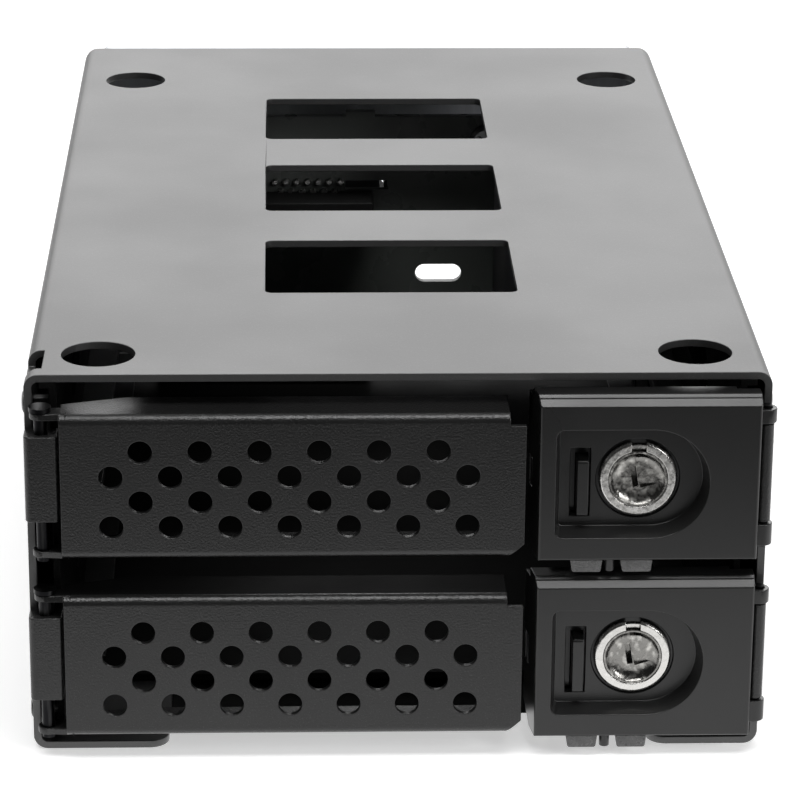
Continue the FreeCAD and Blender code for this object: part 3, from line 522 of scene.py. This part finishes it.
def addRod(name, centre, radius, length, sides=48, turn=(math.pi / 2, 0, 0)):
    bpy.ops.object.select_all(action="DESELECT")
    bpy.ops.mesh.primitive_cylinder_add(vertices=sides, radius=radius, depth=length,
                                        location=centre, rotation=turn)
    piece = bpy.context.active_object
    piece.name = name
    bpy.ops.object.transform_apply(location=True, rotation=True, scale=True)
    return piece


def addBlock(name, centre, size, turn=(0, 0, 0)):
    bpy.ops.object.select_all(action="DESELECT")
    bpy.ops.mesh.primitive_cube_add(size=1, location=centre, rotation=turn)
    piece = bpy.context.active_object
    piece.name = name
    piece.scale = size
    bpy.ops.object.transform_apply(location=True, rotation=True, scale=True)
    return piece


def cutWith(piece, cutter):
    selectOnly(piece)
    applyModifier(piece, "BOOLEAN", object=cutter, operation="DIFFERENCE", solver="EXACT")
    applyModifier(piece, "TRIANGULATE")
    bpy.data.objects.remove(cutter)
    openWhole(piece)
    makeFlatsWhole()
    leaveEdit()


def joinAll(pieces, name):
    bpy.ops.object.select_all(action="DESELECT")
    for piece in pieces:
        piece.select_set(True)
    bpy.context.view_layer.objects.active = pieces[0]
    if len(pieces) > 1:
        bpy.ops.object.join()
    pieces[0].name = name
    return pieces[0]


def copyTo(master, matrix, name):
    copy = bpy.data.objects.new(name, master.data.copy())
    copy.data.transform(matrix)
    bpy.context.scene.collection.objects.link(copy)
    return copy


handleShape = {"ringGap": 0.42, "ringDepth": 0.45, "dishDepth": 3.5, "edge": 0.12, "over": 0.1}


def addHandle(bay):
    # A groove runs round the lock's ring in the floor of the dish.
    node = f"handle_{bay}"
    piece = mergedCopy(node)
    ringLow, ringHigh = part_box(f"lock_housing_{bay}")
    centre, ringRadius = (ringLow + ringHigh) / 2, (ringHigh.x - ringLow.x) / 2
    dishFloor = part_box(node)[0].y + handleShape["dishDepth"] * mm
    depth, over = handleShape["ringDepth"] * mm, handleShape["over"] * mm
    middle = (centre.x, dishFloor + depth / 2 - over, centre.z)
    groove = addRod("groove", middle, ringRadius + handleShape["ringGap"] * mm,
                    depth + 2 * over, sides=96)
    cutWith(piece, groove)
    roundEdges(piece, handleShape["edge"])
    standFor(piece, node)


plugShape = {"depth": 5.05, "tail": (2.0, 1.8), "rim": 0.3, "edge": 0.06,
             "dish": ((0.25, 0.34), (0.6, 0.34), (0.9, 0.24)),
             "ramp": {"radius": 3.55, "height": 0.86, "sunk": 0.1, "edge": (0.0, 0.5, 8.9),
                      "foot": (-1.5, 10), "slope": 13},
             "keyway": {"size": (0.85, 3.3), "reach": 2.4, "over": 0.3, "shift": (-0.50, 0.1)}}


def addPlugRamp(name, centre, floor):
    # The raised right half of the plug's dish, cut from a disc, lower toward its rim.
    ramp = plugShape["ramp"]
    height, sunk = ramp["height"] * mm, ramp["sunk"] * mm
    x, z = centre
    piece = addRod(name, (x, floor - height / 2 + sunk, z), ramp["radius"] * mm,
                   height + 2 * sunk, sides=64)
    edgeX, edgeZ, lean = ramp["edge"]
    footZ, footLean = ramp["foot"]
    lean, footLean, slope = (math.radians(angle) for angle in (lean, footLean, ramp["slope"]))
    cuts = [
        ((x + edgeX * mm, floor, z + edgeZ * mm), (math.cos(lean), 0, math.sin(lean))),
        ((x, floor, z + footZ * mm), (-math.sin(footLean), 0, math.cos(footLean))),
        ((x, floor - height, z), (-math.sin(slope), math.cos(slope), 0)),
    ]
    for place, normal in cuts:
        openWhole(piece)
        bpy.ops.mesh.bisect(plane_co=place, plane_no=normal, clear_inner=True, use_fill=True)
        leaveEdit()
    return piece


def addLockPlug(bay):
    # Dished plug with a rim, a keyway and a sloping raised half beside it.
    node = f"lock_plug_{bay}"
    low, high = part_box(node)
    x, z, radius, face = (low.x + high.x) / 2, (low.z + high.z) / 2, (high.x - low.x) / 2, low.y
    depth = plugShape["depth"] * mm
    piece = addRod("plug", (x, face + depth / 2, z), radius, depth, sides=96)
    pickFaces(piece, lambda centre, normal: normal.y < -0.9)
    bpy.ops.mesh.inset(thickness=plugShape["rim"] * mm)
    for width, sink in plugShape["dish"]:
        bpy.ops.mesh.inset(thickness=width * mm, depth=-sink * mm)
    leaveEdit()
    tailRadius, tailLength = (value * mm for value in plugShape["tail"])
    pickFaces(piece, lambda centre, normal: normal.y > 0.9)
    bpy.ops.mesh.inset(thickness=radius - tailRadius)
    bpy.ops.mesh.extrude_region_move(TRANSFORM_OT_translate={"value": (0, tailLength, 0)})
    leaveEdit()
    floor = face + sum(step[1] for step in plugShape["dish"]) * mm
    keyway = plugShape["keyway"]
    wide, tall = (value * mm for value in keyway["size"])
    shiftX, shiftZ = (value * mm for value in keyway["shift"])
    reach, over = keyway["reach"] * mm, keyway["over"] * mm
    lean = math.radians(-plugShape["ramp"]["edge"][2])
    cutWith(piece, addBlock("keyway", (x + shiftX, floor + reach / 2 - over, z + shiftZ),
                            (wide, reach + 2 * over, tall), (0, lean, 0)))
    piece = joinAll([piece, addPlugRamp("ramp", (x, z), floor)], f"{node}_form")
    roundEdges(piece, plugShape["edge"])
    standFor(piece, node)


doorPaint = {"bend": 1.45, "edge": 0.14, "step": 0.9, "ease": 0.5, "knuckle": 3.0, "near": 0.01}


def addDoor(bay):
    # Powder coat outside; the flanges and inside take a near-black matt paint that stands for the
    # shade there (painted shade). One corner of the knuckle's plate is eased first, so that the
    # bevel there spreads less.
    node = f"door_{bay}"
    piece = mergedCopy(node)
    low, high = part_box(node)
    near = doorPaint["near"] * mm
    for vertex in piece.data.vertices:
        place = vertex.co
        atEnd = min(abs(place.z - low.z), abs(place.z - high.z)) < near
        atStep = abs(place.y - low.y - doorPaint["step"] * mm) < near
        if atEnd and atStep and place.x > low.x + doorPaint["knuckle"] * mm:
            place.y += doorPaint["ease"] * mm
    openWhole(piece)
    mergeSelected()
    leaveEdit()
    roundEdges(piece, doorPaint["edge"])
    standFor(piece, node)
    piece.data.materials.append(materials["innerPaintWithPaintedShade"])
    bendEnd = low.y + doorPaint["bend"] * mm
    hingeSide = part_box(f"hinge_block_{bay}")[1].x
    # Painted shade: faces behind the bend, past the hinge block, take the second, near-black paint.
    for face in piece.data.polygons:
        inside = face.center.y > bendEnd or face.normal.y > 0.5
        face.material_index = 1 if inside and face.center.x > hingeSide else 0


screwLooks = {
    "side_screws": {"radius": 1.7, "height": 0.55, "shank": (1.05, 4.5), "cross": (2.0, 0.4, 0.35),
                    "finish": "screwBlack"},
    "board_screws": {"radius": 2.6, "height": 1.5, "shank": (1.3, 3.9), "cross": (3.0, 0.6, 0.9),
                     "finish": "pinSteel"},
    "handle_screws_upper": {"radius": 1.2, "height": 0.5, "shank": (0.6, 0.02),
                            "cross": (1.5, 0.3, 0.3), "finish": "screwBlack"},
}
screwLooks["handle_screws_lower"] = screwLooks["handle_screws_upper"]
screwDome = {"crown": 0.25, "drop": 0.35, "outer": 0.9, "firstSpin": 0.6, "nextSpin": 1.1}


def addScrewHead(look):
    # One domed head on the origin, facing up, with a crossed recess and a shank.
    radius, height = look["radius"] * mm, look["height"] * mm
    head = addRod("head", (0, 0, height / 2), radius, height, sides=32, turn=(0, 0, 0))
    pickFaces(head, lambda centre, normal: normal.z > 0.9)
    bpy.ops.mesh.inset(thickness=radius * screwDome["crown"], depth=0)
    leaveEdit()
    outer = screwDome["outer"]
    for vertex in head.data.vertices:
        place = vertex.co
        if place.z > height * outer and math.hypot(place.x, place.y) > radius * outer:
            place.z -= height * screwDome["drop"]
    for turn in (0, math.pi / 2):
        length, width, depth = (value * mm for value in look["cross"])
        cutter = addBlock("cross", (0, 0, height), (length, width, depth * 2), (0, 0, turn))
        cutWith(head, cutter)
    shankRadius, shankLength = (value * mm for value in look["shank"])
    shank = addRod("shank", (0, 0, -shankLength / 2), shankRadius, shankLength, sides=20,
                   turn=(0, 0, 0))
    return joinAll([head, shank], "screwMaster")


def addScrews(node, look, spots, outward):
    master = addScrewHead(look)
    heads = []
    for index, (seat, side) in enumerate(spots):
        turn = Vector((0, 0, 1)).rotation_difference(Vector(outward) * side).to_matrix().to_4x4()
        spin = Matrix.Rotation(screwDome["firstSpin"] + index * screwDome["nextSpin"], 4, "Z")
        heads.append(copyTo(master, Matrix.Translation(seat) @ turn @ spin, f"{node}_{index}"))
    bpy.data.objects.remove(master)
    piece = joinAll(heads, f"{node}_form")
    smoothEdges(piece)
    standFor(piece, node)
    wear(piece, look["finish"])


def cornerSpots(node, axis, seats):
    # The four corners of the node's box, a head's radius in, on each seat along the axis.
    low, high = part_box(node)
    radius = screwLooks[node]["radius"] * mm
    first, second = [index for index in range(3) if index != axis]
    spots = []
    for seat, side in seats:
        for a in (low[first] + radius, high[first] - radius):
            for b in (low[second] + radius, high[second] - radius):
                place = [0, 0, 0]
                place[axis], place[first], place[second] = seat, a, b
                spots.append((Vector(place), side))
    return spots


def addAllScrews():
    low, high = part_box("side_screws")
    sink = screwLooks["side_screws"]["height"] * mm
    rows = [("side_screws", 0, [(low.x + sink, -1), (high.x - sink, 1)])]
    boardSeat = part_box("board_screws")[0].y + screwLooks["board_screws"]["height"] * mm
    rows.append(("board_screws", 1, [(boardSeat, -1)]))
    for bay in bays:
        node = f"handle_screws_{bay}"
        rows.append((node, 1, [(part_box(node)[0].y, 1)]))
    for node, axis, seats in rows:
        outward = [1 if index == axis else 0 for index in range(3)]
        addScrews(node, screwLooks[node], cornerSpots(node, axis, seats), outward)


springShape = {"wire": 0.4, "turns": 4, "steps": 24, "smooth": 60, "travel": 8.0}


def addSpring(bay):
    # A round wire coil.
    node = f"pusher_spring_{bay}"
    low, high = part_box(node)
    wire, steps = springShape["wire"] * mm, springShape["steps"]
    x, z, radius = (low.x + high.x) / 2, (low.z + high.z) / 2, (high.x - low.x) / 2 - wire
    curve = bpy.data.curves.new(node, "CURVE")
    curve.dimensions = "3D"
    curve.bevel_depth = wire
    curve.bevel_resolution = 3
    curve.use_fill_caps = True
    count = springShape["turns"] * steps + 1
    spline = curve.splines.new("POLY")
    spline.points.add(count - 1)
    for step, point in enumerate(spline.points):
        share = step / (count - 1)
        angle = 2 * math.pi * step / steps
        y = low.y + wire + (high.y - low.y - 2 * wire) * share
        point.co = (x + radius * math.cos(angle), y, z + radius * math.sin(angle), 1)
    piece = bpy.data.objects.new(f"{node}_form", curve)
    bpy.context.scene.collection.objects.link(piece)
    selectOnly(piece)
    bpy.ops.object.convert(target="MESH")
    piece = bpy.context.active_object
    smoothEdges(piece, springShape["smooth"])
    standFor(piece, node)
    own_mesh(piece)


contactShape = {"size": (0.55, 4.6, 0.08), "pitch": 1.27, "edge": 0.02, "bladeTop": 0.6}


def addContacts(name, holder, middle, count):
    # A row of gold strips on top of a connector's blade.
    width, length, thick = (value * mm for value in contactShape["size"])
    master = addBlock(name, (0, 0, 0), (width, length, thick))
    applyModifier(master, "BEVEL", width=contactShape["edge"] * mm, segments=1)
    pitch = contactShape["pitch"] * mm
    strips = []
    for index in range(count):
        shift = Vector(((index - (count - 1) / 2) * pitch, 0, thick / 2))
        strips.append(copyTo(master, Matrix.Translation(Vector(middle) + shift), f"{name}_{index}"))
    bpy.data.objects.remove(master)
    piece = joinAll(strips, name)
    wear(piece, "goldPlate")
    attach(piece, bodyOf[holder])


boardShape = {
    "pinRows": 2, "pinCount": 11, "pinPitch": 2.1, "pinStart": -18.6, "pinHigh": 41.4,
    "rowDrop": 2,
    "pinRadius": 0.45, "padRadius": 0.7, "padDepth": 0.5, "padLift": 0.24, "pinLift": 0.3,
    "noPins": (-5.8, 4.2), "edge": 0.08, "padSmooth": 50,
    "capacitor": (2.55, 7.0), "capacitorAt": ((5.0, 40.3), (11.5, 40.3)),
    "chips": ((-6.0, 47.5, 7.0, 5.0), (12.0, 30.0, 5.0, 6.0), (-38.0, 33.0, 6.0, 6.0)),
    "canRim": (0.3, 0.15), "canEdge": 0.25, "chipHeight": 1.2, "chipTaper": 0.94,
    "smallSize": (1.6, 0.6, 0.8),
    "small": ((-14.0, 50.0), (-11.0, 50.0), (2.0, 50.0), (8.0, 47.0), (5.0, 22.0), (5.0, 25.0),
              (-33.0, 39.5), (-30.0, 39.5), (-43.0, 25.0), (8.5, 14.0), (11.0, 14.0)),
}


def addBoardParts():
    low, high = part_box("backplane")
    pins, shape = [], boardShape
    master = addRod("pin", (0, 0, 0), shape["padRadius"] * mm, shape["padDepth"] * mm,
                    sides=12)
    pickFaces(master, lambda centre, normal: normal.y < -0.9)
    bpy.ops.mesh.inset(thickness=(shape["padRadius"] - shape["pinRadius"]) * mm,
                       depth=shape["pinLift"] * mm)
    leaveEdit()
    for row in range(shape["pinRows"]):
        for index in range(shape["pinCount"]):
            x = shape["pinStart"] + shape["pinPitch"] * (index + row / 2)
            if shape["noPins"][0] < x < shape["noPins"][1]:
                continue
            spot = Vector((x * mm, low.y - shape["padLift"] * mm,
                           (shape["pinHigh"] - shape["rowDrop"] * row) * mm))
            pins.append(copyTo(master, Matrix.Translation(spot), f"pin_{row}_{index}"))
    bpy.data.objects.remove(master)
    solder = joinAll(pins, "board_solder")
    smoothEdges(solder, shape["padSmooth"])
    wear(solder, "solder")
    parts = []
    radius, length = (value * mm for value in shape["capacitor"])
    for index, (x, z) in enumerate(shape["capacitorAt"]):
        can = addRod(f"can_{index}", (x * mm, high.y + length / 2, z * mm), radius, length, sides=40)
        pickFaces(can, lambda centre, normal: normal.y > 0.9)
        rimWidth, rimDepth = (value * mm for value in shape["canRim"])
        bpy.ops.mesh.inset(thickness=rimWidth, depth=-rimDepth)
        leaveEdit()
        roundEdges(can, shape["canEdge"])
        parts.append(can)
    for index, (x, z, wide, tall) in enumerate(shape["chips"]):
        thick = shape["chipHeight"] * mm
        chip = addBlock(f"chip_{index}", (x * mm, high.y + thick / 2, z * mm),
                        (wide * mm, thick, tall * mm))
        pickFaces(chip, lambda centre, normal: normal.y > 0.9)
        bpy.ops.transform.resize(value=(shape["chipTaper"], 1, shape["chipTaper"]))
        leaveEdit()
        roundEdges(chip, shape["edge"])
        parts.append(chip)
    cases = joinAll(parts, "board_parts")
    wear(cases, "darkNylon")
    smalls = []
    for index, (x, z) in enumerate(shape["small"]):
        wide, deep, tall = (value * mm for value in shape["smallSize"])
        piece = addBlock(f"small_{index}", (x * mm, high.y + deep / 2, z * mm), (wide, deep, tall))
        roundEdges(piece, shape["edge"])
        smalls.append(piece)
    chipsets = joinAll(smalls, "board_smalls")
    wear(chipsets, "ceramic")
    for piece in (solder, cases, chipsets):
        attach(piece, bodyOf["backplane"])


socketRows = (("long", -6.5, 15), ("short", 11.7, 7))
portRow = (4.0, 7)
socketReach, bladeTop = 3.8 * mm, contactShape["bladeTop"] * mm
for bay in bays:
    addHandle(bay)
    addLockPlug(bay)
    addDoor(bay)
    addSpring(bay)
print("handles, locks, doors and springs ready")
addAllScrews()
print("screws ready")
for bay in bays:
    socketLow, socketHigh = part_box(f"drive_socket_{bay}")
    socketMiddle = (socketLow + socketHigh) / 2
    for part, shift, count in socketRows:
        addContacts(f"socket_{part}_{bay}", f"drive_socket_{bay}",
                    (socketMiddle.x + shift * mm, socketLow.y + socketReach,
                     socketMiddle.z + bladeTop), count)
    portLow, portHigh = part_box(f"data_port_{bay}")
    portMiddle = (portLow + portHigh) / 2
    addContacts(f"port_contacts_{bay}", f"data_port_{bay}",
                (portMiddle.x, portHigh.y - portRow[0] * mm, portMiddle.z + bladeTop), portRow[1])
addBoardParts()
print("contacts and board parts ready")

edgeWidths = {
    "cover": 0.12, "floor_plate": 0.1, "guide_left": 0.1, "guide_right": 0.1,
    "backplane": 0.06, "board_bracket_left": 0.1, "board_bracket_right": 0.1,
    "rear_frame": 0.12, "power_port": 0.12,
}
bayEdgeWidths = {
    "hinge_block": 0.18, "handle_hinge": 0.15, "release_lever": 0.2,
    "lock_housing": 0.14, "lens_power": 0.12, "lens_activity": 0.12,
    "handle_back": 0.08, "lock_cam": 0.1, "drive_socket": 0.1, "data_port": 0.1,
    "rail_left": 0.12, "rail_right": 0.12, "pusher": 0.15,
}
for bay in bays:
    for part, width in bayEdgeWidths.items():
        edgeWidths[f"{part}_{bay}"] = width
for node, width in edgeWidths.items():
    form = mergedCopy(node)
    roundEdges(form, width)
    standFor(form, node)
for node in nodes:
    if node not in edgeWidths and not nodes[node].hide_render:
        wear(nodes[node], finishOf[node])
print("pieces with rounded edges:", len(edgeWidths))
